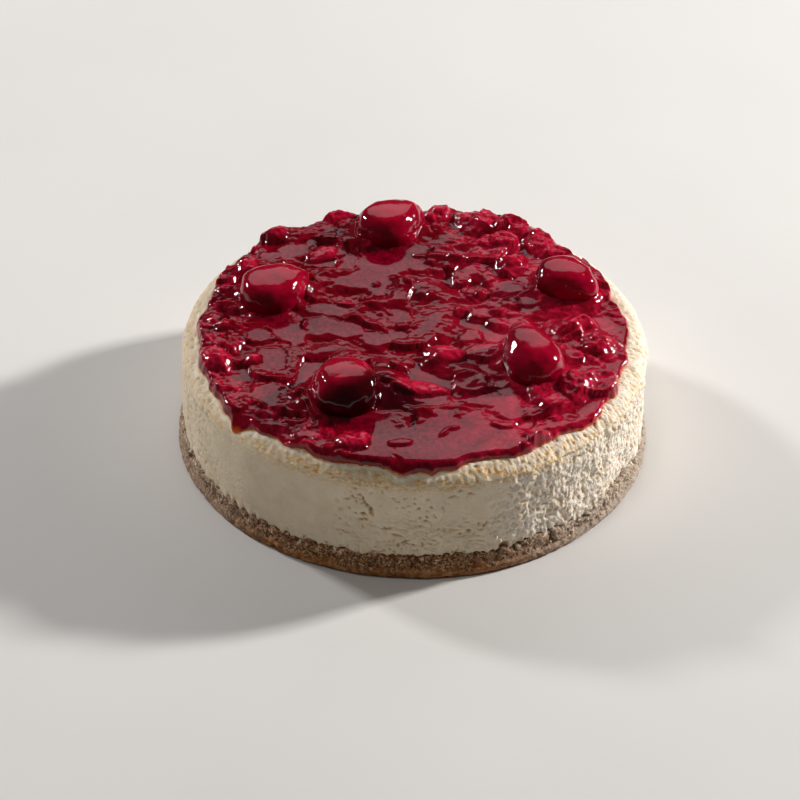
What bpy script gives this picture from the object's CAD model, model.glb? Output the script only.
"""Looks of the strawberry cheesecake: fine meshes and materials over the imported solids.

The origin is the middle of the crust's flat underside, +Z is up and the front of the cake faces -Y.
Lengths are metres. Azimuths are degrees round the cake, 0 at +X and -90 at the front.
"""

import math
import random
from collections import namedtuple

import bmesh
import bpy
import numpy as np
from mathutils import Matrix, Vector, noise
from mathutils.bvhtree import BVHTree


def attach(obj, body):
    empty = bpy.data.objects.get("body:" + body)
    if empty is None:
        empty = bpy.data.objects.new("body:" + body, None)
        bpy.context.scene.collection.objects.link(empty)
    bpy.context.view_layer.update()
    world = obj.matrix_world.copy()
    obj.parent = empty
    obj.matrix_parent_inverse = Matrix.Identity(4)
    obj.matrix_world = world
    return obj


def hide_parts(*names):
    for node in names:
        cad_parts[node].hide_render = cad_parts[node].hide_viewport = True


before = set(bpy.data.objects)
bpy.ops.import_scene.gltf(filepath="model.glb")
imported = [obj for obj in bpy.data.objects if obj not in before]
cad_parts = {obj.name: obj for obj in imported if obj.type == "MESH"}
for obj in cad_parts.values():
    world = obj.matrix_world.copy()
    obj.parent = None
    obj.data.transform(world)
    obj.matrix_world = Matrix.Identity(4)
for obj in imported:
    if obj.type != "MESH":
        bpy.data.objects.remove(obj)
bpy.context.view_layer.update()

MM = 0.001
GAP = 0.3 * MM

# Photo frame and the camera fitted to it
PHOTO_SIZE = 800
PHOTO_CENTRE = PHOTO_SIZE / 2
ORIGIN_PIXEL = (412.2, 428.7)  # where the middle of the cake's base shows
FOCAL_PIXELS = 3000
CAMERA_DISTANCE = 1.0017
CAMERA_ELEVATION = 36.94
CAMERA_ROLL = 1.16
SENSOR_WIDTH = 36

# Driving sizes, as in the solids
CRUST_RADIUS = 78 * MM
CRUST_HEIGHT = 7.7 * MM
CRUST_LIP_HEIGHT = 2.6 * MM
CRUST_LIP_ROUNDING = 0.8 * MM
CRUST_DRAW_IN = 1.1 * MM
CRUST_CRUMBLE = 1.3 * MM
CRUST_CRUMBLE_LENGTH = 7 * MM
CRUST_SHRINK = 0.17 * MM  # keeps the fine crust inside the solid one
JUNCTION_LEVEL_RADIUS = 62 * MM
JUNCTION_FULL_RADIUS = 70 * MM
JUNCTION_WAVE = 1.2 * MM
JUNCTION_WAVE_LENGTH = 16 * MM
CHEESE_RADIUS = 76.2 * MM
CHEESE_TOP = 39 * MM
SIDE_CREASE = 35.5 * MM
SHOULDER_WIDTH = 6.5 * MM
FOOT_TUCK = 0.5 * MM
CHEESE_DENT = 1.3 * MM
CHEESE_DENT_LENGTH = 10 * MM
DENT_STRETCH = 1.6
SMOOTHEST_AZIMUTH = -118
ROUGHEST_AZIMUTH = -10
LEAST_ROUGH = 0.25
SAUCE_REACH = 70.3 * MM
SAUCE_FRONT_DEPTH = 2.4 * MM
SAUCE_BACK_DEPTH = 3.6 * MM
SAUCE_EDGE_ROUNDING = 1.5 * MM
THINNEST_SAUCE = 0.25 * MM
FULL_DEPTH = 5 * MM
RIM_DROP = 1.2 * MM
RIM_DRAW_IN = 0.99
ROLL_HEIGHT = 2.3 * MM
ROLL_LENGTH = 15 * MM
WARP_REACH = 2.2 * MM
WARP_LENGTH = 9 * MM
WARP_SEED = 7  # the vector noise follows the clock unless it is seeded
MENISCUS_RISE = 2.4 * MM
MENISCUS_LENGTH = 2.2 * MM
FRONT_MENISCUS_RISE = 1.0 * MM  # the gel is drawn up less on the side that faces the front
FRONT_MENISCUS_LENGTH = 1.6 * MM
MENISCUS_FRONT_AZIMUTH = -95
MENISCUS_FRONT_SPREAD = (110, 50)  # degrees from that azimuth: none beyond the first, all within the second
# Lobes of the sauce's edge: azimuth, reach in millimetres, and half width in degrees
SAUCE_LOBES = (
    (178, 0.6, 5), (168, -1.0, 4), (156, 0.6, 6), (135, 2.4, 4), (122, -1.8, 5), (114, 2.2, 3),
    (104, -1.4, 4), (78, 1.6, 8), (70, 2.2, 4), (58, 3.0, 7), (45, -0.9, 4), (27, -0.6, 5), (16, -1.8, 5),
    (-4, -1.4, 5), (-17, -1.2, 4), (-26, 1.2, 3), (-38, 2.4, 5), (-62, 1.4, 4), (-72, -0.8, 5),
    (-80, 2.4, 2.5), (-85.5, 2.6, 2.5), (-92.5, 3.2, 4), (-108, 1.6, 8), (-114, 1.2, 3), (-123, 2.0, 3.5),
    (-131, 1.6, 3), (-137.5, 5.0, 3.5), (-144, 2.8, 4), (-152, 1.8, 5), (-163, 1.8, 4),
)
FruitPiece = namedtuple("FruitPiece", "x y length breadth rise turn")
# x, y, half length, half breadth and rise in millimetres, and turn in degrees
FRUIT_PIECES = tuple(FruitPiece(*(size * MM for size in sizes), turn) for *sizes, turn in (
    (53, 3, 8.5, 5.5, 3.4, 20), (60, -9, 5.5, 4.5, 2.4, 0), (52, -31, 9, 6, 2.8, 65),
    (43, -38, 6.5, 5, 2.0, -20), (27, 50, 9, 6, 2.4, -15), (43, 48, 9, 6, 2.8, -48),
    (20, 62, 8, 6.5, 2.8, -15), (33, 58, 7, 5.5, 2.4, -30), (33, 38, 6, 4, 1.8, 30), (8, 65, 6, 5, 3.2, 70),
    (42, 55, 6, 5, 2.2, -40), (-47, 50, 5, 4, 1.6, 40), (-26, 64, 7, 4, 1.6, 20),
    (-19, -61, 6.5, 4, 2.2, 10), (-64, -20, 6.5, 5, 2.6, -60), (-65, 3, 5, 4, 2.0, 80),
    (-52, -21, 3.6, 3, 1.8, 0), (9, -15, 7, 5.5, 2.2, -15), (1, -33, 11, 5, 2.0, -8),
    (-30, 40, 8, 5, 1.8, 25), (-56, 30, 6, 4, 1.8, 55),
))
SCRAP_COUNT = 70
SCRAP_SEED = 7
SCRAP_RADIUS = (2.2 * MM, 4.2 * MM)
SCRAP_RISE = (0.5 * MM, 1.4 * MM)
SCRAP_FREE_RADIUS = 52 * MM
SCRAP_CHANCE_INSIDE = 0.35
Strawberry = namedtuple("Strawberry", "x y z length breadth depth azimuth tilt flat")
STRAWBERRIES = (
    Strawberry(-8 * MM, 55.2 * MM, 44.6 * MM, 25.2 * MM, 20.4 * MM, 18.4 * MM, 40, 5, 7.3 * MM),
    Strawberry(-46 * MM, 15.4 * MM, 44.6 * MM, 25.8 * MM, 20.6 * MM, 18.6 * MM, 40, 5, 6.4 * MM),
    Strawberry(50.6 * MM, 23 * MM, 44.6 * MM, 22.6 * MM, 18.4 * MM, 16.6 * MM, -30, 0, 6.5 * MM),
    Strawberry(37.3 * MM, -19.4 * MM, 45.3 * MM, 27.3 * MM, 18.9 * MM, 17.2 * MM, 110, 12, 7.5 * MM),
    Strawberry(-21.8 * MM, -37.2 * MM, 45 * MM, 26.4 * MM, 21.6 * MM, 19.4 * MM, 100, 0, 8.4 * MM),
)
BERRY_TAPER = 0.25
BERRY_WOBBLE = 0.035
BERRY_WOBBLE_LENGTH = 11 * MM
FLAT_AZIMUTH = -105
FLAT_LEAN = 0.5
FLAT_SOFTNESS = 0.8 * MM
FLAT_BULGE = 0.12
BERRY_INSET = 0.15 * MM  # keeps the dimpled skin inside the solid one
BERRY_DIMPLES = ((0.5 * MM, 5 * MM), (0.2 * MM, 2.2 * MM))
POOL_ROLL_SHARE = 0.22
VALLEY_SLOPE = 0.26
FRONT_SLOPE = 0.3
LEAST_INNER_DEPTH = 1.3 * MM
LEAST_RISE_IN_POOLS = 1.7 * MM  # lower pieces of fruit lie wholly under the level pools

# Shaded side of each strawberry: its azimuth, how dark it is, and where on the way to it the shade begins
BERRY_SHADES = ((-135, 0.45, 0.0), (-120, 0.45, 0.1), (170, 0.6, 0.0), (-150, 0.4, 0.1), (-50, 0.95, -0.25))

# Level pools of the sauce, seen by the camera on a plane this far above the cheese:
# x, y, half length, half breadth in millimetres, and turn in degrees
POOL_PLANE = 4 * MM
POOLS = (
    (-10, 36, 10, 9, 20), (-1, 43, 7, 4.5, 30), (-16, 25, 8, 6, 0), (-23, 24, 5, 3, -10),
    (-12, 19, 4, 4, -30), (1, 34, 4, 5, 20), (-41, 41, 6, 5, 20), (-49, 37, 4, 3.5, 0),
    (-31, 36, 5.5, 6, 0), (-23, 35, 3, 5, 0), (-36, 45, 2, 3, 0), (-27, 7, 8, 4, -8), (-14, 4, 4.5, 2, -25),
    (-5, 4, 4, 5, 30), (-47, 1, 8, 3, 0), (-51, -8, 5, 4.5, 10), (-41, -5, 6, 6, 0), (-38, -11, 2.5, 4, 0),
    (-31, -2, 6, 5, 0), (-22, -4, 7, 4.5, -10), (-13, -8, 6, 4.5, -20), (-6, -6, 5, 4, 10),
    (4, -2, 9, 4, 50), (7, 5, 6, 4, 50), (-46, -21, 5.5, 7.5, 10), (-29, -15.5, 7, 2.3, 12),
    (-65, -20, 4.5, 6, 15), (-63, -10, 2.5, 3, 0), (-46, -40, 5.5, 6.5, -15), (-55, -41, 5, 3.2, 0),
    (-51, -47, 4, 2.5, -30), (-42, -54, 4, 2, 10), (-31, -60, 5.5, 3.5, -15), (-28, -65, 4, 2.5, 0),
    (-29, -54.5, 3, 2, 0), (-13, -54, 10, 5.5, 10), (-7, -50, 5, 3, 0), (-5, -61, 11, 6, 0),
    (-12, -67.5, 7, 6.2, 0), (5, -67, 11, 9.0, 0), (10, -56, 10, 8, 0), (10, -48, 3.5, 3, 0),
    (19, -49, 4, 4.5, 0), (21, -58.5, 9, 8.8, 0), (30, -60, 5, 5.5, 0), (16, -66, 8, 6.2, 8),
    (26, -40, 10, 4.5, 10), (32, -35, 5, 5, 0), (28, -31, 3, 3.5, 0), (31, -45, 5.5, 5, 0),
    (42, -38, 3, 3, 0), (43, -52, 3, 3, 0), (5, -40, 7, 4.3, -8), (8, -17.5, 5, 5.5, 0), (18, -6, 4, 5, 0),
    (22, -13, 6.5, 3.8, 15), (46, -5, 3, 6, 10), (53, -10, 4.5, 3, 0), (23, 8, 5, 4, 0),
    (27, 3, 5, 2.5, -40), (32, 7, 2.5, 2.5, 0), (36, 6, 2, 3, 0), (19, 20, 3, 3, 0), (31, 22, 6, 5, 10),
    (37, 26, 4, 4, 0), (38, 14, 4, 4, -30), (44, 11, 6, 3.5, 0), (52, 13, 5.5, 2.5, 20),
    (18, 31, 4.5, 4.5, 0), (24, 30, 2.5, 4.5, 0), (8, 33, 3, 3, 0), (15, 42, 3, 3, 0),
    (13, 10, 2.5, 1.5, -30), (11, 18, 3, 1.2, -20),
)
# Scraps that stand in the pools, given the same way
ISLANDS = (
    (10, -57, 3.5, 1.0, 55), (13, -55, 1.2, 1.2, 0), (28, -53, 4, 2, -10), (-4, -63.5, 4.5, 1.8, 10),
    (8, -19, 1.8, 1.2, 0), (-36, -1, 1.2, 3, 0), (-10, -3, 3.2, 1.0, -45), (-13, 22, 1.8, 1.3, 0),
    (37, 22, 1.6, 1.6, 0), (-54, -42, 2.5, 1.0, 20), (31, -52, 1.5, 1.0, 0), (-30, -62, 1.5, 0.9, 0),
)
# Clear deep gel that looks almost black, given the same way
DARK_PATCHES = ((-8, -40, 12, 4.8, 2), (-24, -50, 7, 1.2, -8), (-9, -31, 4, 3, -50))
# Where the sauce is rubbly with pulp: x, y and radius in millimetres
RUBBLE = (
    (40, 54, 17), (22, 56, 14), (62, -10, 13), (54, -32, 13), (-64, 4, 14), (-58, -30, 10), (8, 62, 10),
    (-60, 25, 10), (-46, -50, 8), (-62, -13, 9), (62, 12, 9), (-34, -55, 12), (-18, -60, 7), (-54, -38, 8),
)
# Where the pulp lies nearer the surface all over, growing from one x to another
PULPY_SIDE = (-8 * MM, 40 * MM)
# Thin tongue of sauce that hangs over the shoulder: azimuth and half width, and where it begins and ends
THIN_TONGUE = (-137.5, 3.5, 71.5 * MM, 74.5 * MM)

# Cracks and holes in the cheese's side: azimuth, height, half length and half breadth in millimetres,
# turn in degrees, and depth in millimetres
SIDE_MARKS = (
    (-100.8, 28.0, 3.2, 0.30, -63, 0.7), (-103.0, 29.4, 1.6, 0.28, -12, 0.5),
    (-99.7, 25.8, 0.9, 0.6, -50, 0.8), (-101.6, 23.6, 1.0, 0.4, 20, 0.5),
    (-101.0, 21.4, 1.2, 0.4, -25, 0.5), (-95.8, 18.6, 1.7, 0.40, 6, 0.5), (-93.2, 16.2, 1.9, 0.45, -9, 0.5),
    (-91.4, 13.6, 1.5, 0.40, 12, 0.5), (-80.5, 31.5, 1.6, 0.35, 15, 0.5),
    (-76.2, 31.8, 1.3, 0.35, -10, 0.5), (-67.2, 8.6, 1.5, 1.1, 30, 1.6),
)
# Crumbs: azimuth, and radius, height and size in millimetres
CHEESE_CRUMBS = (
    (-69.6, 76.4, 12.6, 1.2), (-68.6, 76.5, 11.3, 0.9), (-43, 77.0, 5.5, 0.7), (-31, 77.0, 6.0, 0.6),
    (-22, 76.9, 6.2, 0.7), (-84, 77.0, 6.0, 0.5),
)
BISCUIT_CRUMBS = (
    (-99.0, 77.2, 2.6, 1.5), (-70.5, 77.3, 1.5, 1.1), (-120, 76.8, 4.4, 0.8), (-134, 76.8, 4.0, 0.9),
    (-55, 76.9, 4.4, 1.0), (-39, 77.0, 3.8, 0.9),
)
# Bright edges of the gel's film: the strawberry's number, first and last azimuth round it, and distance out
FILM_EDGES = (
    (5, 140, 245, 0.9 * MM), (5, 165, 235, 2.6 * MM), (1, 140, 215, 0.6 * MM), (2, 185, 250, 1.2 * MM),
)
FILM_EDGE_RADIUS = 0.16 * MM
FILM_EDGE_SIDES = 6
FILM_EDGE_STEPS = 90

# Smooth noise used as waves: height, length, and an offset that picks another stretch of the noise
Wave = namedtuple("Wave", "height length offset")
EDGE_WAVE = Wave(0.9 * MM, 5 * MM, 2.2)
EDGE_RIPPLE = Wave(0.45 * MM, 2 * MM, 8.1)
FRAY_X = Wave(1.6 * MM, 4.5 * MM, 11.0)
FINE_FRAY_X = Wave(1.0 * MM, 1.9 * MM, 41.0)
FRAY_Y = Wave(1.1 * MM, 3.6 * MM, 17.0)
FINE_FRAY_Y = Wave(0.7 * MM, 1.5 * MM, 47.0)
RIPPLE = Wave(0.8 * MM, 5.5 * MM, 6.6)
SMALL_RIPPLE = Wave(0.22 * MM, 2.4 * MM, 51.0)
FINE_RIPPLE = Wave(1, 1.3 * MM, 53.0)
BANK_SIDE = Wave(1, 12 * MM, 55.0)
FILM_TREMBLE = Wave(0.015 * MM, 3.5 * MM, 71.0)
PULPY_CLOUD = Wave(1, 6 * MM, 83.0)
MARK_WOBBLE = Wave(0.35 * MM, 1.6 * MM, 57.0)
CRAG_SWIRL = Wave(0.9 * MM, 2.6 * MM, 73.0)
CRAG_RIDGE = Wave(1, 1.3 * MM, 3.1)
FINE_CRAG_RIDGE = Wave(0.75, 0.62 * MM, 5.3)
CRAG_CLUMP = Wave(0.55 * MM, 3.0 * MM, 21.0)
PIT_SPECK = Wave(1, 1.25 * MM, 9.7)
PIT_ZONE = Wave(1, 12 * MM, 31.0)
FOLD_SWERVE = Wave(1.5 * MM, 5 * MM, 35.0)
FOLD = Wave(1, 1.3 * MM, 37.0)
FOLDED_EDGE = Wave(4 * MM, 9 * MM, 39.0)
BLISTER = Wave(1, 2.0 * MM, 59.0)
STREAK = Wave(1, 1.1 * MM, 43.0)

# Depths of the cheese's fine relief
CRAG_DEPTH = 0.46 * MM
CRAG_STRETCH = 0.15
PIT_DEPTH = 0.4 * MM
WRINKLE_DEPTH = 0.35 * MM
STREAK_DEPTH = 0.14 * MM
FUZZ_DEPTH = 0.45 * MM
CREASE_DEPTH = 0.5 * MM
COVERED_WIDTH = 2.5 * MM  # of the cheese's top, under the sauce
# Heights of the sauce's fine relief
LUMP_HEIGHT = 0.44 * MM
CALM_RIPPLE = 0.07
GLINTING_RIPPLE = 0.24
ISLAND_RISE = 0.6 * MM

# Lights: name, azimuth, elevation, distance, width and height, power in watts, colour, and whether the gloss
# mirrors them
LIGHTS = (
    ("key", 22, 24, 1.5, (0.13, 0.13), 30, (1.0, 0.97, 0.93), True),
    ("left_back", 145, 28, 1.4, (0.15, 0.15), 10, (1.0, 0.98, 0.96), True),
    ("top", -135, 72, 1.5, (0.3, 0.3), 2.7, (1.0, 0.97, 0.93), False),
    ("left_fill", -172, 14, 1.6, (0.9, 0.7), 1.6, (1.0, 0.97, 0.94), False),
    ("panel", 90, 36, 2.0, (1.55, 0.72), 3.9, (1.0, 0.97, 1.0), True),
)
WORLD_COLOUR = (1.0, 0.97, 0.93, 1)
WORLD_STRENGTH = 0.04
FLOOR_HALF_SIZE = 3.0

# Fineness of the meshes
CHEESE_STEPS = 1120
CHEESE_SIDE_ROWS = 64
CHEESE_SHOULDER_ROWS = 18
CRUST_STEPS = 1200
CRUST_WALL_ROWS = 36
SAUCE_CELLS = 308
BERRY_SEGMENTS = 96
BERRY_RINGS = 64


def eased(low, high, values):
    """0 below low, 1 above high and a smooth rise between, for a number or an array."""
    part = np.clip((np.asarray(values, float) - low) / (high - low), 0, 1)
    return part * part * (3 - 2 * part)


def degrees_apart(azimuth, other):
    return np.abs((azimuth - other + 180) % 360 - 180)


def azimuth_of(x, y):
    return np.degrees(np.arctan2(y, x))


def noise_at(x, y, z, length, offset=0.0):
    """Smooth noise from about -1 to 1 at arrays of points. Another offset gives other noise."""
    points = np.column_stack([np.ravel(x), np.ravel(y), np.ravel(z) * np.ones(np.size(x))]) / length + offset
    return np.array([noise.noise(point) for point in points.tolist()]).reshape(np.shape(x))


def wave_at(wave, x, y, z=0):
    return wave.height * noise_at(x, y, z, wave.length, wave.offset)


def ruffled_at(x, y, z, length, octaves, offset=0.0):
    """Noise with finer and fainter noise added, for crumbs and pulp."""
    total = np.zeros(np.shape(x))
    for octave in range(octaves):
        total += noise_at(x, y, z, length / 2 ** octave, offset + 7.3 * octave) / 2 ** octave
    return total


def cheese_surface(radius):
    """Height of the cheese's top and shoulder at one radius, without its dents."""
    part = np.clip((radius - (CHEESE_RADIUS - SHOULDER_WIDTH)) / SHOULDER_WIDTH, 0, 1)
    return SIDE_CREASE + (CHEESE_TOP - SIDE_CREASE) * (1 - part * part)


def junction_lift(x, y):
    """How far the wavy face between crust and cheese lies above its middle height."""
    wave = noise_at(x, y, 0, JUNCTION_WAVE_LENGTH)
    return JUNCTION_WAVE * wave * eased(JUNCTION_LEVEL_RADIUS, JUNCTION_FULL_RADIUS, np.hypot(x, y))


def cheese_roughness(azimuth):
    """How rough the cheese's side is in one direction, from LEAST_ROUGH to 1."""
    smooth = eased(75, 20, degrees_apart(azimuth, SMOOTHEST_AZIMUTH))
    rough = eased(130, 55, degrees_apart(azimuth, ROUGHEST_AZIMUTH))
    return np.maximum(LEAST_ROUGH, (0.6 + 0.4 * rough) * (1 - smooth))


def sauce_edge(azimuth):
    """Radius of the sauce's edge in one direction."""
    reach = np.full(np.shape(azimuth), SAUCE_REACH)
    for lobe_azimuth, lobe_reach, half_width in SAUCE_LOBES:
        part = degrees_apart(azimuth, lobe_azimuth) / half_width
        reach += lobe_reach * MM * np.exp(-part * part)
    return reach


def scraps():
    """Place, radius and rise of each small scrap of fruit."""
    draw = random.Random(SCRAP_SEED)
    found = []
    while len(found) < SCRAP_COUNT:
        radius = SAUCE_REACH * math.sqrt(draw.random())
        azimuth = math.tau * draw.random()
        size = draw.uniform(*SCRAP_RADIUS)
        rise = draw.uniform(*SCRAP_RISE)
        if draw.random() < SCRAP_CHANCE_INSIDE or radius > SCRAP_FREE_RADIUS:
            x = radius * math.cos(azimuth)
            y = radius * math.sin(azimuth)
            found.append(FruitPiece(x, y, size, size * 0.8, rise, math.degrees(azimuth)))
    return found


def turned(x, y, degrees):
    """A shift given along and across an axis that is turned by some degrees."""
    turn = math.radians(degrees)
    return x * math.cos(turn) + y * math.sin(turn), y * math.cos(turn) - x * math.sin(turn)


def dome(piece, x, y):
    """Rise of one piece of fruit above the sauce."""
    along, across = turned(x - piece.x, y - piece.y, piece.turn)
    inside = 1 - (along / piece.length) ** 2 - (across / piece.breadth) ** 2
    return piece.rise * np.clip(inside, 0, 1) ** 0.75


def linked(name, data):
    piece = bpy.data.objects.new(name, data)
    bpy.context.scene.collection.objects.link(piece)
    return piece


def mesh_of(name, points, faces, material, smooth=True):
    mesh = bpy.data.meshes.new(name)
    mesh.from_pydata(points.tolist(), [], faces)
    mesh.validate()
    if smooth:
        mesh.shade_smooth()
    mesh.materials.append(material)
    return linked(name, mesh)


def store(piece, **values):
    """Keeps numbers for the points of a mesh, 0 where none are given, which its material then reads."""
    for name, numbers in values.items():
        kept = np.zeros(len(piece.data.vertices), np.float32)
        kept[:np.size(numbers)] = np.ravel(numbers)
        piece.data.attributes.new(name, "FLOAT", "POINT").data.foreach_set("value", kept)


def ring_faces(rows, steps):
    """Faces between rings of points that go round the cake, the top ring first, facing outwards."""
    index = np.arange(rows * steps).reshape(rows, steps)
    after = np.roll(index, -1, axis=1)
    quads = np.stack([index[:-1], index[1:], after[1:], after[:-1]], axis=-1)
    return quads.reshape(-1, 4).tolist()


def closed_faces(rows, steps):
    """Faces of rings closed by two points that come last, one before the rings and one after them."""
    faces = ring_faces(rows, steps)
    first_end = rows * steps
    last_ring = first_end - steps
    for step in range(steps):
        after = (step + 1) % steps
        faces.append([first_end, step, after])
        faces.append([first_end + 1, last_ring + after, last_ring + step])
    return faces


def turned_grid(row_radius, row_height, turn):
    """Radius, height, x and y of rows of points round the cake, as arrays of row by step."""
    radii = np.repeat(row_radius[:, None], len(turn), axis=1)
    heights = np.repeat(row_height[:, None], len(turn), axis=1)
    return radii, heights, radii * np.cos(turn), radii * np.sin(turn)


def turned_piece(name, turn, radii, heights, material):
    """A closed body from rows of points round the cake, given as arrays of row by step, top row first."""
    points = np.stack([radii * np.cos(turn), radii * np.sin(turn), heights], axis=-1).reshape(-1, 3)
    ends = [[0, 0, heights[0].mean()], [0, 0, heights[-1].mean()]]
    return mesh_of(name, np.vstack([points, ends]), closed_faces(*radii.shape), material)


class Nodes:
    """Adds and joins the nodes of one material."""

    def __init__(self, name):
        self.material = bpy.data.materials.new(name)
        self.material.use_nodes = True
        self.tree = self.material.node_tree
        self.shader = self.tree.nodes["Principled BSDF"]

    def add(self, kind, inputs=None, **settings):
        node = self.tree.nodes.new(kind)
        for key, value in settings.items():
            setattr(node, key, value)
        for key, value in (inputs or {}).items():
            self.set(node.inputs[key], value)
        return node

    def set(self, socket, value):
        if isinstance(value, bpy.types.NodeSocket):
            self.tree.links.new(value, socket)
        elif socket.type == "RGBA":
            socket.default_value = (*value, 1)
        else:
            socket.default_value = value

    def shade(self, **inputs):
        for key, value in inputs.items():
            self.set(self.shader.inputs[key.replace("_", " ")], value)

    def value(self, name):
        return self.add("ShaderNodeAttribute", attribute_name=name).outputs["Fac"]

    def place(self):
        return self.add("ShaderNodeTexCoord").outputs["Object"]

    def noise(self, scale, detail=3, roughness=0.5, stretch=None):
        where = self.place()
        if stretch:
            where = self.add("ShaderNodeMapping", {"Vector": where, "Scale": stretch}).outputs[0]
        inputs = {"Vector": where, "Scale": scale, "Detail": detail, "Roughness": roughness}
        return self.add("ShaderNodeTexNoise", inputs).outputs["Fac"]

    def ramp(self, factor, *stops):
        """Colours or greys at positions along a factor."""
        node = self.add("ShaderNodeValToRGB", {"Fac": factor})
        elements = node.color_ramp.elements
        while len(elements) < len(stops):
            elements.new(0.5)
        for element, (position, colour) in zip(elements, stops):
            element.position = position
            element.color = (*colour, 1) if isinstance(colour, tuple) else (colour, colour, colour, 1)
        return node.outputs["Color"]

    def mix(self, factor, first, second, blend="MIX"):
        node = self.add("ShaderNodeMix", data_type="RGBA", blend_type=blend)
        self.set(node.inputs[0], factor)
        self.set(node.inputs[6], first)
        self.set(node.inputs[7], second)
        return node.outputs[2]

    def bump(self, height, distance, strength=1.0, normal=None):
        node = self.add("ShaderNodeBump", {"Height": height, "Distance": distance, "Strength": strength})
        if normal:
            self.set(node.inputs["Normal"], normal)
        return node.outputs["Normal"]


def cheese_material():
    nodes = Nodes("baked_cheese_fine")
    pit = nodes.value("pit")
    rough = nodes.value("rough")
    mottle = nodes.noise(150, 5, 0.65)
    smooth_cream = nodes.ramp(mottle, (0.3, (0.76, 0.63, 0.45)), (0.7, (0.86, 0.74, 0.56)))
    rough_cream = nodes.ramp(mottle, (0.3, (0.82, 0.72, 0.59)), (0.7, (0.90, 0.83, 0.74)))
    cream = nodes.mix(rough, smooth_cream, rough_cream)
    pit_colour = nodes.mix(rough, (0.50, 0.28, 0.10), (0.80, 0.58, 0.34))
    with_pits = nodes.mix(nodes.ramp(pit, (0.15, 0.0), (0.9, 0.9)), cream, pit_colour)
    freckle = nodes.ramp(nodes.noise(700, 4, 0.7, (1, 1, 2)), (0.40, 0.0), (0.60, 1.0))
    browned = nodes.mix(freckle, (0.95, 0.82, 0.58), (0.72, 0.36, 0.07))
    with_brown = nodes.mix(nodes.value("brown"), with_pits, browned)
    with_lip = nodes.mix(nodes.value("cream_lip"), with_brown, (0.97, 0.87, 0.68))
    with_crumbs = nodes.mix(nodes.value("crumbed"), with_lip, (0.26, 0.13, 0.05))
    colour = nodes.mix(nodes.value("stain"), with_crumbs, (0.70, 0.22, 0.04))
    grain = nodes.noise(1000, 5, 0.7)
    nodes.shade(
        Base_Color=colour,
        Roughness=0.6,
        Specular_IOR_Level=0.3,
        Subsurface_Weight=0.4,
        Subsurface_Scale=0.0016,
        Subsurface_Radius=(1.0, 0.75, 0.5),
        Normal=nodes.bump(grain, 0.0006, 0.6),
    )
    return nodes.material


def crust_material():
    nodes = Nodes("biscuit_crust_fine")
    pit = nodes.value("pit")
    pale = nodes.value("pale")
    crumbs = nodes.noise(1300, 4, 0.75)
    dark_body = ((0.36, (0.07, 0.018, 0.003)), (0.5, (0.27, 0.11, 0.035)), (0.64, (0.70, 0.48, 0.30)))
    pale_body = ((0.36, (0.16, 0.09, 0.05)), (0.5, (0.42, 0.32, 0.24)), (0.64, (0.72, 0.62, 0.52)))
    body = nodes.mix(pale, nodes.ramp(crumbs, *dark_body), nodes.ramp(crumbs, *pale_body))
    coarse = nodes.noise(420, 4, 0.7)
    dark_lip = ((0.34, (0.13, 0.042, 0.010)), (0.5, (0.34, 0.13, 0.038)), (0.66, (0.58, 0.31, 0.13)))
    pale_lip = ((0.34, (0.26, 0.17, 0.11)), (0.5, (0.42, 0.33, 0.26)), (0.66, (0.60, 0.51, 0.43)))
    pressed = nodes.mix(pale, nodes.ramp(coarse, *dark_lip), nodes.ramp(coarse, *pale_lip))
    colour = nodes.mix(nodes.value("lip"), body, pressed)
    colour = nodes.mix(nodes.ramp(pit, (0.35, 0.0), (1.0, 0.75)), colour, (0.07, 0.025, 0.007))
    colour = nodes.mix(nodes.value("cream"), colour, (0.84, 0.72, 0.55))
    nodes.shade(
        Base_Color=colour,
        Roughness=0.8,
        Specular_IOR_Level=0.3,
        Normal=nodes.bump(crumbs, 0.0005, 0.8),
    )
    return nodes.material


def sauce_material():
    nodes = Nodes("strawberry_gel_fine")
    depth = nodes.value("depth")
    level = nodes.value("level")
    dark = nodes.value("dark")
    clouds = nodes.noise(220, 5, 0.7)
    flecks = nodes.noise(650, 3, 0.7)
    pool_gel = nodes.ramp(flecks, (0.35, (0.09, 0.0, 0.004)), (0.65, (0.25, 0.001, 0.016)))
    open_gel = nodes.ramp(clouds, (0.3, (0.12, 0.0, 0.004)), (0.7, (0.24, 0.001, 0.012)))
    gel = nodes.mix(level, open_gel, pool_gel)
    fibres = nodes.ramp(nodes.noise(420, 5, 0.75), (0.38, (0.27, 0.001, 0.013)), (0.64, (0.64, 0.012, 0.06)))
    colour = nodes.mix(nodes.ramp(nodes.value("pulp"), (0.1, 0.0), (0.9, 0.85)), gel, fibres)
    colour = nodes.mix(dark, colour, (0.045, 0.0, 0.003))
    colour = nodes.mix(nodes.ramp(depth, (0.02, 1.0), (0.13, 0.0)), colour, (0.62, 0.12, 0.012))
    pores = nodes.noise(380, 2, 0.5)
    still = nodes.mix(nodes.ramp(level, (0.0, 0.0), (0.6, 1.0)), pores, (0.5, 0.5, 0.5))
    nodes.shade(
        Base_Color=colour,
        Roughness=0.07,
        IOR=1.45,
        Subsurface_Weight=0.4,
        Subsurface_Scale=0.0025,
        Subsurface_Radius=(1.0, 0.10, 0.09),
        Normal=nodes.bump(still, 0.0002, 0.6),
    )
    return nodes.material


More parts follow.
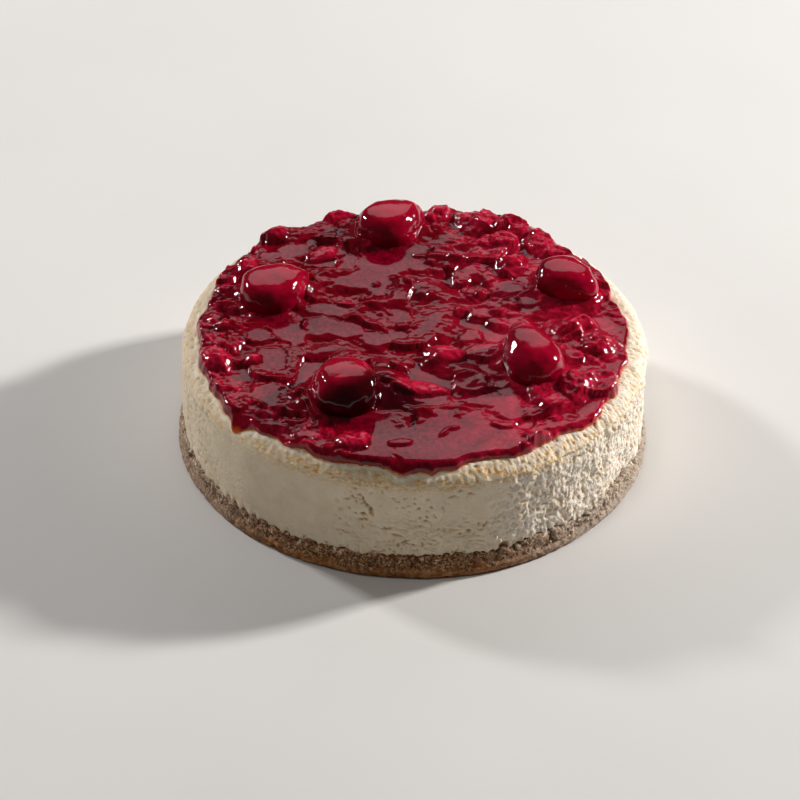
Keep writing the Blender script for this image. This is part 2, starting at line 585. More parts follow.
def berry_material():
    nodes = Nodes("strawberry_skin_fine")
    clouds = nodes.noise(140, 4, 0.65)
    skin = nodes.ramp(clouds, (0.3, (0.20, 0.0, 0.010)), (0.7, (0.40, 0.001, 0.024)))
    seeds = nodes.add("ShaderNodeTexVoronoi", {"Vector": nodes.place(), "Scale": 330})
    seed = nodes.ramp(seeds.outputs["Distance"], (0.10, 1.0), (0.16, 0.0))
    shown = nodes.ramp(nodes.noise(120, 2, 0.5), (0.54, 0.0), (0.62, 0.6))
    colour = nodes.mix(nodes.mix(1.0, seed, shown, "MULTIPLY"), skin, (0.75, 0.16, 0.03))
    colour = nodes.mix(nodes.value("dark"), colour, (0.022, 0.0, 0.001))
    nodes.shade(
        Base_Color=colour,
        Roughness=0.06,
        IOR=1.45,
        Subsurface_Weight=0.6,
        Subsurface_Scale=0.004,
        Subsurface_Radius=(1.0, 0.10, 0.09),
        Normal=nodes.bump(nodes.noise(500, 3, 0.6), 0.00012, 0.4),
    )
    return nodes.material


def floor_material():
    nodes = Nodes("pale_floor")
    nodes.shade(
        Base_Color=nodes.ramp(nodes.noise(6, 3, 0.5), (0.3, (0.70, 0.69, 0.68)), (0.7, (0.74, 0.73, 0.72))),
        Roughness=0.7,
    )
    return nodes.material


def craggy_share(azimuth):
    """Where the cheese's side is all crags: the right and the back, from a sharp start in front."""
    return eased(-75, -62, azimuth) * eased(178, 120, azimuth)


def uneven_turn(steps):
    """Directions round the cake, closer together on the craggy side than on the smooth one."""
    fine = np.linspace(0, math.tau, 20 * steps, endpoint=False)
    azimuth = (np.degrees(fine) + 180) % 360 - 180
    weight = 0.5 + 0.6 * craggy_share(azimuth) * eased(120, 80, azimuth) + 0.2 * (azimuth < 0)
    share = np.cumsum(weight) / weight.sum()
    return np.interp(np.arange(steps) / steps, share - share[0], fine)


def side_marks(x, y, z, azimuth):
    """Depth of the few single cracks and holes in the cheese's side."""
    depth = np.zeros(azimuth.shape)
    wobble = wave_at(MARK_WOBBLE, x, y, z)
    for mark_azimuth, height, length, breadth, turn, deep in SIDE_MARKS:
        sideways = CHEESE_RADIUS * np.radians((azimuth - mark_azimuth + 180) % 360 - 180) + wobble
        along, across = turned(sideways, z - height * MM + wobble, turn)
        inside = 1.2 - (along / (length * MM)) ** 2 - (across / (breadth * MM)) ** 2
        depth = np.maximum(depth, deep * MM * np.clip(inside, 0, 1))
    return depth


def crag_relief(x, y, z, craggy, on_shoulder):
    """Depth of the crags on the rough side, and the ridges that they follow."""
    stretch = 1.0 + CRAG_STRETCH * (1 - on_shoulder)
    swirl = wave_at(CRAG_SWIRL, x, y, z)
    ridges = wave_at(CRAG_RIDGE, x + swirl, y - swirl, (z + swirl) / stretch)
    ridges += wave_at(FINE_CRAG_RIDGE, x, y, z / stretch)
    clumps = wave_at(CRAG_CLUMP, x + swirl, y, z)
    return craggy * (CRAG_DEPTH * (eased(-0.6, 0.8, ridges) - 0.5) + clumps), ridges


def wrinkle_share(x, y, z, in_front):
    """Where the lower part of the front is wrinkled, 0 to 1."""
    folds = np.abs(wave_at(FOLD, x / 2.5, y / 2.5, z + wave_at(FOLD_SWERVE, x, y, z)))
    low = eased(27 * MM, 20 * MM, z + wave_at(FOLDED_EDGE, x, y))
    return in_front * low * (1 - eased(0.02, 0.25, folds))


def cheese_relief(x, y, z, azimuth, on_shoulder):
    """How far the cheese's skin lies inside its turned form, and how much of that is pits."""
    craggy = craggy_share(azimuth)
    left = eased(45, 25, degrees_apart(azimuth, 180))
    in_front = eased(-113, -102, azimuth) * eased(-64, -74, azimuth)
    broad = CHEESE_DENT * cheese_roughness(azimuth)
    broad = broad * eased(-0.35, 0.6, noise_at(x, y, z / DENT_STRETCH, CHEESE_DENT_LENGTH))
    crags, ridges = crag_relief(x, y, z, craggy, on_shoulder)
    zone = eased(-0.2, 0.3, wave_at(PIT_ZONE, x, y, z))
    pitted = np.maximum(zone * np.maximum(in_front, 0.35), np.maximum(craggy, 0.8 * left))
    pits = eased(0.24, 0.46, wave_at(PIT_SPECK, x, y, z)) * pitted
    wrinkles = wrinkle_share(x, y, z, in_front)
    blisters = in_front * wave_at(BLISTER, x, y, z)
    streaks = left * wave_at(STREAK, x, y, z / 3.5)
    fuzz = on_shoulder * (1 - craggy) * ruffled_at(x, y, z, 1.7 * MM, 2, 49.0)
    marks = side_marks(x, y, z, azimuth) * (1 - on_shoulder)
    dent = 0.9 * broad + crags + PIT_DEPTH * pits + WRINKLE_DEPTH * wrinkles
    dent = dent + STREAK_DEPTH * (streaks + blisters) + marks + FUZZ_DEPTH * fuzz
    shade = 0.85 * pits + craggy * eased(0.15, 0.75, ridges) + 0.3 * wrinkles + marks / (0.5 * MM)
    return dent, np.clip(shade, 0, 1)


def make_cheese():
    foot = CRUST_HEIGHT + GAP
    inner = CHEESE_RADIUS - SHOULDER_WIDTH - COVERED_WIDTH
    shoulder = np.linspace(inner, CHEESE_RADIUS, CHEESE_SHOULDER_ROWS + 1)
    down = np.linspace(0, 1, CHEESE_SIDE_ROWS + 1)[1:]
    row_radius = np.concatenate([shoulder, CHEESE_RADIUS - FOOT_TUCK * down ** 6, [JUNCTION_FULL_RADIUS]])
    row_height = np.concatenate([cheese_surface(shoulder), SIDE_CREASE + (foot - SIDE_CREASE) * down, [foot]])
    turn = uneven_turn(CHEESE_STEPS)
    radii, heights, x, y = turned_grid(row_radius, row_height, turn)
    azimuth = azimuth_of(x, y)
    on_shoulder = eased(SIDE_CREASE - 0.3 * MM, SIDE_CREASE + 0.6 * MM, heights)
    dent, shade = cheese_relief(x, y, heights, azimuth, on_shoulder)
    hidden = (radii < inner + 0.5 * MM) | (np.arange(len(row_radius))[:, None] == len(row_radius) - 1)
    crease = CREASE_DEPTH * np.exp(-((heights - SIDE_CREASE) / (1.1 * MM)) ** 2)
    dent = np.where(hidden, 0, dent + crease)
    lift = junction_lift(x, y) * eased(CHEESE_TOP / 2, foot, heights)
    hanging = eased(-0.3, 0.9, ruffled_at(x, y, 0, 2.8 * MM, 3, 13.0)) * eased(foot + 2.5 * MM, foot, heights)
    cheese_radii = radii - dent * (1 - 0.6 * on_shoulder) + np.where(hidden, 0, 0.7 * MM * hanging)
    cheese_heights = heights - 0.6 * dent * on_shoulder + lift - np.where(hidden, 0, 2.0 * MM * hanging)
    piece = turned_piece("cheese_fine", turn, cheese_radii, cheese_heights, cheese_material())
    beyond_sauce = radii - sauce_edge(azimuth)
    streak = noise_at(x, y, heights * 2.5, 2.4 * MM, 1.7) + 0.6 * noise_at(x, y, heights * 2, 1.0 * MM, 4.7)
    fading = eased(SIDE_CREASE - 3.5 * MM, SIDE_CREASE + 0.3 * MM, heights)
    band = eased(0.9 * MM, 2.4 * MM, beyond_sauce) * fading
    browning = 0.35 + 0.65 * eased(66, 36, degrees_apart(azimuth, -92))
    brown = band * browning * eased(-0.45, 0.30, streak)
    stain = 0.6 * eased(0.6 * MM, 0.1 * MM, beyond_sauce + 0.4 * MM * streak)
    lip_reach = (1.7 + 1.2 * noise_at(x, y, 0, 4 * MM, 6.3)) * MM
    cream_lip = eased(0, -0.8 * MM, beyond_sauce - lip_reach) * on_shoulder
    cream_lip *= 1 - 0.6 * craggy_share(azimuth)
    biscuit = ruffled_at(x, y, heights, 1.6 * MM, 3, 63.0)
    crumbed = 0.85 * eased(0.5, 0.8, biscuit) * eased(foot + 2.2 * MM, foot + 0.4 * MM, heights)
    store(piece, pit=shade, brown=brown, stain=stain, rough=craggy_share(azimuth), cream_lip=cream_lip)
    store(piece, crumbed=crumbed)
    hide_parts("cheese_layer")
    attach(piece, "root")


def crust_rows():
    """Radius and height of the crust's rows, from the top inwards edge down to the foot."""
    wall = CRUST_RADIUS - CRUST_DRAW_IN
    top = CRUST_HEIGHT
    corners = (
        (JUNCTION_FULL_RADIUS, top),
        (wall - CRUST_LIP_ROUNDING, top),
        (wall, top - CRUST_LIP_ROUNDING),
        (wall + 0.1 * CRUST_DRAW_IN, (top + CRUST_LIP_HEIGHT) / 2),
        (wall + 0.5 * CRUST_DRAW_IN, CRUST_LIP_HEIGHT + CRUST_LIP_ROUNDING),
        (CRUST_RADIUS, CRUST_LIP_HEIGHT),
        (CRUST_RADIUS, CRUST_LIP_ROUNDING),
        (CRUST_RADIUS - CRUST_LIP_ROUNDING, 0),
    )
    corners = np.array(corners)
    way = np.concatenate([[0], np.cumsum(np.hypot(*np.diff(corners, axis=0).T))])
    where = np.linspace(0, way[-1], CRUST_WALL_ROWS + 1)
    return np.interp(where, way, corners[:, 0]), np.interp(where, way, corners[:, 1])


def make_crust():
    row_radius, row_height = crust_rows()
    turn = np.linspace(0, math.tau, CRUST_STEPS, endpoint=False)
    radii, heights, x, y = turned_grid(row_radius, row_height, turn)
    above_lip = eased(CRUST_LIP_HEIGHT * 0.8, CRUST_HEIGHT * 0.6, heights)
    crumble = CRUST_CRUMBLE * eased(-0.4, 0.6, noise_at(x, y, heights, CRUST_CRUMBLE_LENGTH))
    broad = crumble * (0.35 + 0.65 * eased(CRUST_LIP_HEIGHT, CRUST_HEIGHT / 2, heights))
    crumbs = eased(-0.4, 0.7, ruffled_at(x, y, heights, 1.7 * MM, 3, 4.4))
    outer = (radii > JUNCTION_FULL_RADIUS + 1 * MM) & (heights > 0)
    fine = (crumbs - 0.5) * (0.45 + 0.55 * above_lip) * MM
    crust_radii = radii - CRUST_SHRINK - np.where(outer, np.maximum(broad + fine, 0), 0)
    lift = junction_lift(x, y) * eased(CRUST_LIP_HEIGHT, CRUST_HEIGHT - CRUST_LIP_ROUNDING, heights)
    piece = turned_piece("crust_fine", turn, crust_radii, heights + lift, crust_material())
    azimuth = azimuth_of(x, y)
    pit = np.clip(eased(0.5, 1.0, crumbs) * (0.3 + 0.7 * above_lip), 0, 1)
    uneven = 2.2 * MM * ruffled_at(x, y, heights, 4 * MM, 3, 69.0)
    lip = 1 - eased(CRUST_LIP_HEIGHT * 0.7, CRUST_LIP_HEIGHT * 1.6, heights + uneven)
    near_top = eased(CRUST_HEIGHT * 0.55, CRUST_HEIGHT * 0.85, heights)
    pit = np.maximum(pit, 0.8 * eased(0.35, 0.7, crumbs) * near_top)
    pale = eased(-78, -38, azimuth) * eased(178, 150, azimuth)
    pale = pale + 0.6 * eased(62, 30, degrees_apart(azimuth, 180))
    bits = ruffled_at(x, y, heights, 1.5 * MM, 3, 67.0)
    cream = eased(0.35, 0.6, bits) * eased(CRUST_HEIGHT - 3.5 * MM, CRUST_HEIGHT - 0.8 * MM, heights)
    store(piece, pit=pit, lip=lip, pale=pale, cream=cream)
    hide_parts("crust")
    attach(piece, "root")


def berry_placing(berry):
    azimuth = Matrix.Rotation(math.radians(berry.azimuth), 4, "Z")
    tilt = Matrix.Rotation(math.radians(-berry.tilt), 4, "Y")
    return Matrix.Translation((berry.x, berry.y, berry.z)) @ azimuth @ tilt


def berry_point(berry, direction):
    """A point of a strawberry's skin, from a direction of length 1 in its own axes."""
    narrowing = 1 - BERRY_TAPER * direction.x
    half = Vector((berry.length, berry.breadth * narrowing, berry.depth * narrowing)) / 2
    point = Vector((direction.x * half.x, direction.y * half.y, direction.z * half.z))
    wobble = noise.noise((point + Vector((berry.x, berry.y, 0))) / BERRY_WOBBLE_LENGTH)
    return point * (1 + BERRY_WOBBLE * wobble)


def flattened(berry, point):
    """The point pressed down where the strawberry's top is flat."""
    azimuth = math.radians(FLAT_AZIMUTH)
    lean = math.radians(FLAT_LEAN)
    facing = Vector((math.cos(azimuth) * math.sin(lean), math.sin(azimuth) * math.sin(lean), math.cos(lean)))
    above = facing.dot(point - Vector((berry.x, berry.y, berry.z))) - berry.flat
    excess = FLAT_SOFTNESS * math.log1p(math.exp(min(above / FLAT_SOFTNESS, 40)))
    return point - facing * excess * (1 - FLAT_BULGE)


def flat_share(berry, point):
    """1 where the strawberry's top was pressed flat, 0 well below."""
    return float(eased(berry.flat - 1.2 * MM, berry.flat - 0.2 * MM, point.z - berry.z))


def shaded(berry, point, shade):
    """How far one point of a strawberry lies on its shaded side, 0 to 1."""
    azimuth, strength, begins = shade
    turn = math.radians(azimuth)
    away = Vector((math.cos(turn) * 0.75, math.sin(turn) * 0.75, -0.66))
    outwards = (point - Vector((berry.x, berry.y, berry.z))).normalized()
    return strength * float(eased(begins, begins + 0.5, outwards.dot(away)))


def berry_skin(berry, placing, along, turn):
    """Point of a strawberry's dimpled skin, from its angle along the berry and its turn round it."""
    across = math.sin(along)
    direction = Vector((math.cos(along), across * math.cos(turn), across * math.sin(turn)))
    point = flattened(berry, placing @ berry_point(berry, direction))
    dimple = sum(height * noise.noise(point / length) for height, length in BERRY_DIMPLES)
    dimple *= 1 - 0.75 * flat_share(berry, point)
    return point + placing.to_3x3() @ direction * (dimple - BERRY_INSET)


def berry_piece(name, berry, shade, material):
    """One strawberry, from rings round its length and a point at each end."""
    placing = berry_placing(berry)
    rings = [math.pi * ring / BERRY_RINGS for ring in range(1, BERRY_RINGS)]
    turns = [math.tau * segment / BERRY_SEGMENTS for segment in range(BERRY_SEGMENTS)]
    places = [(along, turn) for along in rings for turn in turns] + [(0, 0), (math.pi, 0)]
    points = [berry_skin(berry, placing, along, turn) for along, turn in places]
    piece = mesh_of(name, np.array(points), closed_faces(BERRY_RINGS - 1, BERRY_SEGMENTS), material)
    store(piece, dark=[shaded(berry, point, shade) for point in points])
    return piece


def make_berries():
    material = berry_material()
    made = []
    for number, (berry, shade) in enumerate(zip(STRAWBERRIES, BERRY_SHADES), start=1):
        piece = berry_piece(f"strawberry_{number}_fine", berry, shade, material)
        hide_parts(f"strawberry_{number}")
        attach(piece, "root")
        made.append(piece)
    return made


def berry_outline(berry, piece):
    """A strawberry's reach in plan from its middle, for evenly spaced directions round it."""
    bins = 120
    middles = (np.arange(bins) + 0.5) * 360 / bins - 180
    points = np.array([tuple(vertex.co) for vertex in piece.data.vertices])
    turn = np.degrees(np.arctan2(points[:, 1] - berry.y, points[:, 0] - berry.x))
    reach = np.hypot(points[:, 1] - berry.y, points[:, 0] - berry.x)
    outline = np.array([reach[degrees_apart(turn, middle) < 3].max() for middle in middles])
    for _ in range(6):
        outline = (np.roll(outline, 1) + 2 * outline + np.roll(outline, -1)) / 4
    return middles, outline


def meniscus(x, y, berries):
    """Distance in plan to the nearest strawberry, 0 inside it, and how high the gel is drawn up there."""
    nearest = np.full(np.shape(x), 1.0)
    drawn_up = np.zeros(np.shape(x))
    for berry, piece in zip(STRAWBERRIES, berries):
        middles, outline = berry_outline(berry, piece)
        here = np.degrees(np.arctan2(y - berry.y, x - berry.x))
        away = np.hypot(x - berry.x, y - berry.y) - np.interp(here, middles, outline, period=360)
        outwards = np.maximum(away, 0)
        front = eased(*MENISCUS_FRONT_SPREAD, degrees_apart(here, MENISCUS_FRONT_AZIMUTH))
        rise = MENISCUS_RISE + (FRONT_MENISCUS_RISE - MENISCUS_RISE) * front
        length = MENISCUS_LENGTH + (FRONT_MENISCUS_LENGTH - MENISCUS_LENGTH) * front
        drawn_up = np.maximum(drawn_up, rise * np.exp(-outwards / length))
        nearest = np.minimum(nearest, outwards)
    return nearest, drawn_up


def disc_places(cells):
    """Points of a square grid carried to a disc of radius 1."""
    line = np.linspace(-1, 1, cells + 1)
    u, v = np.meshgrid(line, line, indexing="xy")
    return u * np.sqrt(1 - v * v / 2), v * np.sqrt(1 - u * u / 2)


def fine_edge(azimuth):
    """The sauce's edge with its small waves."""
    turn = np.radians(azimuth)
    x = SAUCE_REACH * np.cos(turn)
    y = SAUCE_REACH * np.sin(turn)
    return sauce_edge(azimuth) + (wave_at(EDGE_WAVE, x, y) + wave_at(EDGE_RIPPLE, x, y))


def inside_ovals(ovals, x, y):
    """How far each point lies inside the nearest of some ovals, below 0 outside them all."""
    inside = np.full(x.shape, -1.0)
    for oval_x, oval_y, length, breadth, turn in ovals:
        along, across = turned(x - oval_x * MM, y - oval_y * MM, turn)
        away = np.hypot(along / (length * MM), across / (breadth * MM))
        inside = np.maximum(inside, (1 - away) * min(length, breadth) * MM)
    return inside


def bed_depth(y):
    """Usual depth of the sauce, which lies a little deeper towards the back."""
    return SAUCE_FRONT_DEPTH + (SAUCE_BACK_DEPTH - SAUCE_FRONT_DEPTH) * eased(-SAUCE_REACH, SAUCE_REACH, y)


def sauce_places():
    """Points of the sauce in plan, their radius and azimuth, and how far inside its edge they lie."""
    disc_x, disc_y = disc_places(SAUCE_CELLS)
    azimuth = azimuth_of(disc_x, disc_y)
    edge = fine_edge(azimuth)
    inwards = (1 - np.hypot(disc_x, disc_y)) * edge
    crowd = SAUCE_EDGE_ROUNDING * 2
    inwards = np.where(inwards < crowd, crowd * (np.clip(inwards, 0, crowd) / crowd) ** 1.5, inwards)
    radius = edge - inwards
    turn = np.radians(azimuth)
    return radius * np.cos(turn), radius * np.sin(turn), radius, azimuth, inwards


def warped(x, y):
    """The points moved by a broad swirl, so that what lies on them looks pushed about."""
    points = (np.column_stack([x.ravel(), y.ravel(), np.zeros(x.size)]) / WARP_LENGTH).tolist()
    noise.seed_set(WARP_SEED)
    shifts = np.array([tuple(noise.noise_vector(point)) for point in points])
    return x + WARP_REACH * shifts[:, 0].reshape(x.shape), y + WARP_REACH * shifts[:, 1].reshape(x.shape)


def frayed(x, y):
    """Small shifts that fray the edges of pools and fruit, longer along x than along y."""
    fray_x = wave_at(FRAY_X, x, y) + wave_at(FINE_FRAY_X, x, y)
    fray_y = wave_at(FRAY_Y, x / 1.8, y) + wave_at(FINE_FRAY_Y, x / 1.8, y)
    return fray_x, fray_y


def pools_at(x, y, fray_x, fray_y):
    """How far each point lies inside a pool, and the shares of scraps in pools and of level sauce."""
    seen_y = y - (POOL_PLANE - bed_depth(y)) / math.tan(math.radians(CAMERA_ELEVATION))
    inside = inside_ovals(POOLS, x + fray_x, seen_y + fray_y)
    inside += 1.25 * MM * ruffled_at(x / 1.6, y, 0, 3.4 * MM, 3, 91.0) - 0.75 * MM
    inside -= 0.95 * MM * eased(-15 * MM, 12 * MM, x) * eased(-45 * MM, -30 * MM, y)
    inside -= 0.6 * MM * eased(-46 * MM, -58 * MM, x)
    island = eased(-0.1 * MM, 0.5 * MM, inside_ovals(ISLANDS, x + 0.5 * fray_x, seen_y + 0.5 * fray_y))
    return inside, island, eased(-0.05 * MM, 0.3 * MM, inside) * (1 - island)


def rubble_share(x, y):
    """How rubbly the sauce is, 0 to 1."""
    rubble = np.zeros(x.shape)
    for zone_x, zone_y, zone_radius in RUBBLE:
        away = np.hypot(x - zone_x * MM, y - zone_y * MM) / (zone_radius * MM)
        rubble = np.maximum(rubble, eased(1.0, 0.6, away))
    return rubble


def dark_gel(x, y, fray_x, fray_y, level_share):
    """Share of clear dark gel, and how much it lies lower towards the front."""
    dark = np.zeros(x.shape)
    towards_front = np.zeros(x.shape)
    for patch in DARK_PATCHES:
        share = eased(-2.0 * MM, 2.5 * MM, inside_ovals((patch,), x + fray_x, y + fray_y))
        towards_front += FRONT_SLOPE * (y - patch[1] * MM) * share
        dark = np.maximum(dark, share * (1 - level_share))
    return dark, towards_front


def ripple_at(x, y, moved_x, moved_y):
    """Ripples of the sauce, the finest of them higher at the left and the front edge, where they glint."""
    ripple = wave_at(RIPPLE, moved_x / 1.4, moved_y) + wave_at(SMALL_RIPPLE, x / 1.3, y)
    near_rim = eased(52 * MM, 64 * MM, np.hypot(x, y)) * eased(30 * MM, -10 * MM, x)
    glinting = np.maximum(eased(-5 * MM, -45 * MM, x), near_rim)
    return ripple + (CALM_RIPPLE + GLINTING_RIPPLE * glinting) * MM * wave_at(FINE_RIPPLE, x, y)


def fruit_rise(x, y, level_share):
    """Rise of the pieces and scraps of fruit above the sauce."""
    rises = np.zeros(x.shape)
    for piece in FRUIT_PIECES + tuple(scraps()):
        rise = dome(piece, x, y)
        if piece.rise < LEAST_RISE_IN_POOLS:
            rise *= 1 - level_share
        rises = np.maximum(rises, rise)
    return rises


def sauce_relief(x, y, berries):
    """Depth of the sauce, without its rounded edge, and how pulpy, level and dark it is."""
    moved_x, moved_y = warped(x, y)
    fray_x, fray_y = frayed(x, y)
    inside, island, level_share = pools_at(x, y, fray_x, fray_y)
    dark, towards_front = dark_gel(x, y, fray_x, fray_y, level_share)
    rubble = rubble_share(x, y)
    outwards, drawn_up = meniscus(x, y, berries)
    free = eased(0.3 * MM, 2.5 * MM, outwards)
    roll = ROLL_HEIGHT * noise_at(moved_x, moved_y, 0, ROLL_LENGTH)
    pool_level = POOL_ROLL_SHARE * roll
    grains = ruffled_at(x, y, 0, 3.2 * MM, 3, 61.0)
    ripple = ripple_at(x, y, moved_x, moved_y) * (1 - 0.8 * dark)
    away_from_pools = np.clip(-inside, 0, 4 * MM)
    far = eased(1.0 * MM, 4.0 * MM, away_from_pools)
    side = np.where(wave_at(BANK_SIDE, x / 1.5, y) > -0.12, -1, 1)
    bank = VALLEY_SLOPE * away_from_pools * side
    folds = pool_level * (1 - far) + roll * far + bank * (1 - dark) + towards_front
    folds += ripple * (0.35 + 0.65 * far) * free + (0.15 + 0.85 * rubble) * LUMP_HEIGHT * grains * free
    depth = bed_depth(y) + level_share * pool_level + (1 - level_share) * folds
    depth += wave_at(FILM_TREMBLE, x, y)
    rises = fruit_rise(moved_x + 0.5 * fray_x, moved_y + 0.5 * fray_y, level_share) * (1 + 0.18 * grains)
    depth = np.maximum(depth, LEAST_INNER_DEPTH) + rises + ISLAND_RISE * island
    depth += drawn_up * (1 + 0.12 * grains)
    pulpy = 0.8 * eased(PULPY_SIDE[0], PULPY_SIDE[1], x) * eased(-0.8, 0.3, wave_at(PULPY_CLOUD, x, y))
    pulp = np.maximum(eased(0.3 * MM, 1.8 * MM, rises), 0.9 * rubble * eased(-0.5, 0.7, grains))
    return depth, np.maximum(pulp, pulpy), level_share, dark


def grid_body(name, points, material):
    """A closed body from a square grid of points, with a rim that goes a little way down and inwards."""
    count = SAUCE_CELLS + 1
    index = np.arange(count * count).reshape(count, count)
    quads = np.stack([index[:-1, :-1], index[:-1, 1:], index[1:, 1:], index[1:, :-1]], axis=-1)
    faces = quads.reshape(-1, 4).tolist()
    rim = np.concatenate([index[0, :-1], index[:-1, -1], index[-1, :0:-1], index[:0:-1, 0]])
    under = points[rim] - np.array([0, 0, RIM_DROP])
    under[:, :2] *= RIM_DRAW_IN
    first = len(points)
    for place in range(len(rim)):
        after = (place + 1) % len(rim)
        faces.append([int(rim[after]), int(rim[place]), first + place, first + after])
    faces.append([first + place for place in reversed(range(len(rim)))])
    return mesh_of(name, np.vstack([points, under]), faces, material)


def make_sauce(berries):
    x, y, radius, azimuth, inwards = sauce_places()
    depth, pulp, level_share, dark = sauce_relief(x, y, berries)
    tongue_azimuth, tongue_width, tongue_start, tongue_end = THIN_TONGUE
    tongue = np.exp(-((azimuth - tongue_azimuth) / tongue_width) ** 2)
    depth *= 1 - 0.8 * tongue * eased(tongue_start, tongue_end, radius)
    part = np.clip(inwards / SAUCE_EDGE_ROUNDING, 0, 1)
    depth = np.maximum(depth * np.sqrt(1 - (1 - part) ** 2), THINNEST_SAUCE * (inwards > 0))
    z = cheese_surface(radius) + depth
    points = np.column_stack([x.ravel(), y.ravel(), z.ravel()])
    piece = grid_body("sauce_fine", points, sauce_material())
    store(piece, pulp=pulp, depth=depth / FULL_DEPTH, level=level_share, dark=dark)
    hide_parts("strawberry_sauce")
    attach(piece, "root")
    return piece


def film_edge_rings(berry, piece, tree, first, last, outwards):
    """Rings of points along a thin bead of gel that lies on the sauce beside a strawberry."""
    middles, outline = berry_outline(berry, piece)
    rings = []
    for share in np.arange(FILM_EDGE_STEPS + 1) / FILM_EDGE_STEPS:
        turn = first + (last - first) * share
        reach = np.interp((turn + 180) % 360 - 180, middles, outline, period=360) + outwards
        wander = noise.noise(Vector((turn / 14, outwards * 900, berry.x * 100)))
        reach += 0.5 * MM * wander
        way = Vector((math.cos(math.radians(turn)), math.sin(math.radians(turn)), 0))
        start = Vector((berry.x, berry.y, CHEESE_TOP + 20 * MM)) + way * reach
        hit = tree.ray_cast(start, Vector((0, 0, -1)))[0]
        thickness = FILM_EDGE_RADIUS * math.sin(math.pi * min(max(share, 0.02), 0.98)) ** 0.5
        thickness *= 0.8 + 0.5 * noise.noise(Vector((turn / 5, 3.3, berry.y * 100)))
        ring = []
        for corner in range(FILM_EDGE_SIDES):
            lean = math.tau * corner / FILM_EDGE_SIDES
            ring.append(hit + way * thickness * math.cos(lean) + Vector((0, 0, thickness * math.sin(lean))))
        rings.append(ring)
    return rings


def make_film_edges(sauce, berries):
    """The thin bright edges of the gel's film beside some strawberries, joined in one piece."""
    tree = BVHTree.FromObject(sauce, bpy.context.evaluated_depsgraph_get())
    points = []
    faces = []
    for number, first, last, outwards in FILM_EDGES:
        rings = film_edge_rings(STRAWBERRIES[number - 1], berries[number - 1], tree, first, last, outwards)
        base = len(points)
        points.extend(tuple(point) for ring in rings for point in ring)
        for face in ring_faces(len(rings), FILM_EDGE_SIDES):
            faces.append([base + corner for corner in reversed(face)])
        faces.append([base + corner for corner in reversed(range(FILM_EDGE_SIDES))])
        faces.append([len(points) - FILM_EDGE_SIDES + corner for corner in range(FILM_EDGE_SIDES)])
    nodes = Nodes("film_edge_gel")
    tint = nodes.ramp(nodes.noise(300, 3, 0.5), (0.3, (0.22, 0.02, 0.02)), (0.7, (0.45, 0.12, 0.10)))
    nodes.shade(Base_Color=tint, Roughness=0.18, IOR=1.45)
    piece = mesh_of("gel_film_edges", np.array(points), faces, nodes.material)
    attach(piece, "root")


def make_crumbs(name, crumbs, colours):
    """Crumbs of one kind, each an uneven lump, joined in one piece."""
    body = bmesh.new()
    for number, (azimuth, radius, height, size) in enumerate(crumbs):
        turn = math.radians(azimuth)
        middle = Vector((radius * math.cos(turn), radius * math.sin(turn), height)) * MM
        lump = bmesh.ops.create_icosphere(body, subdivisions=3, radius=1)["verts"]
        stretch = Vector((1.0, 0.8, 1.25))
        for vertex in lump:
            direction = vertex.co.normalized()
            bulge = 1 + 0.35 * noise.noise(direction * 1.6 + Vector((number * 5.1, 0, 0)))
            bulge += 0.12 * noise.noise(direction * 5 + Vector((0, number * 3.7, 0)))
            vertex.co = middle + direction * stretch * (size * MM / 2) * bulge
    mesh = bpy.data.meshes.new(name)
    body.to_mesh(mesh)
    body.free()
    nodes = Nodes(name + "_surface")
    mottle = nodes.noise(1200, 3, 0.6)
    nodes.shade(Base_Color=nodes.ramp(mottle, (0.3, colours[0]), (0.7, colours[1])), Roughness=0.7)
    mesh.materials.append(nodes.material)
    mesh.shade_smooth()
    piece = linked(name, mesh)
    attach(piece, "root")


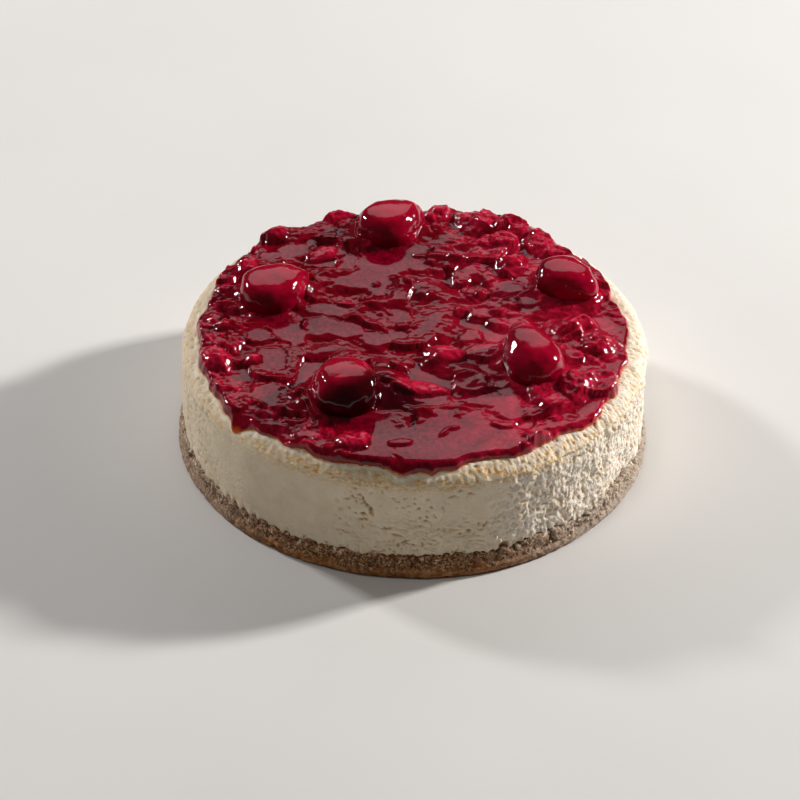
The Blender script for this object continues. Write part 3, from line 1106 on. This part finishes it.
def make_camera():
    """The camera, which looks along +Y and down, turned by its roll."""
    data = bpy.data.cameras.new("camera")
    data.sensor_width = SENSOR_WIDTH
    data.lens = FOCAL_PIXELS / PHOTO_SIZE * SENSOR_WIDTH
    camera = linked("camera", data)
    level = Matrix.Rotation(math.radians(90 - CAMERA_ELEVATION), 4, "X")
    aimed = level @ Matrix.Rotation(math.radians(CAMERA_ROLL), 4, "Z")
    across = (ORIGIN_PIXEL[0] - PHOTO_CENTRE) / FOCAL_PIXELS
    upwards = (PHOTO_CENTRE - ORIGIN_PIXEL[1]) / FOCAL_PIXELS
    place = aimed @ (Vector((-across, -upwards, 1)) * CAMERA_DISTANCE)
    camera.matrix_world = Matrix.Translation(place) @ aimed
    bpy.context.scene.camera = camera


def area_light(name, azimuth, elevation, distance, size, power, colour, mirrored):
    """A rectangular light aimed at the cake's top, unseen in the gloss if not mirrored."""
    data = bpy.data.lights.new(name, "AREA")
    data.shape = "RECTANGLE"
    data.size, data.size_y = size
    data.energy = power
    data.color = colour
    light = linked(name, data)
    turn = math.radians(azimuth)
    lift = math.radians(elevation)
    towards = Vector((math.cos(turn) * math.cos(lift), math.sin(turn) * math.cos(lift), math.sin(lift)))
    target = Vector((0, 0, CHEESE_TOP))
    light.location = target + towards * distance
    light.rotation_mode = "QUATERNION"
    light.rotation_quaternion = towards.to_track_quat("Z", "Y")
    light.visible_glossy = mirrored


def make_lights():
    for light in LIGHTS:
        area_light(*light)
    world = bpy.data.worlds.new("studio")
    world.use_nodes = True
    background = world.node_tree.nodes["Background"]
    background.inputs["Color"].default_value = WORLD_COLOUR
    background.inputs["Strength"].default_value = WORLD_STRENGTH
    bpy.context.scene.world = world


def make_floor():
    size = FLOOR_HALF_SIZE
    corners = np.array([[-size, -size, 0], [size, -size, 0], [size, size, 0], [-size, size, 0]])
    floor = mesh_of("floor", corners, [[0, 1, 2, 3]], floor_material(), smooth=False)


def main():
    bpy.context.scene.view_settings.view_transform = "Standard"
    make_camera()
    make_lights()
    make_floor()
    make_cheese()
    make_crust()
    berries = make_berries()
    sauce = make_sauce(berries)
    make_film_edges(sauce, berries)
    make_crumbs("cheese_crumbs", CHEESE_CRUMBS, ((0.80, 0.62, 0.42), (0.92, 0.84, 0.72)))
    make_crumbs("biscuit_crumbs", BISCUIT_CRUMBS, ((0.40, 0.22, 0.10), (0.70, 0.50, 0.32)))


main()
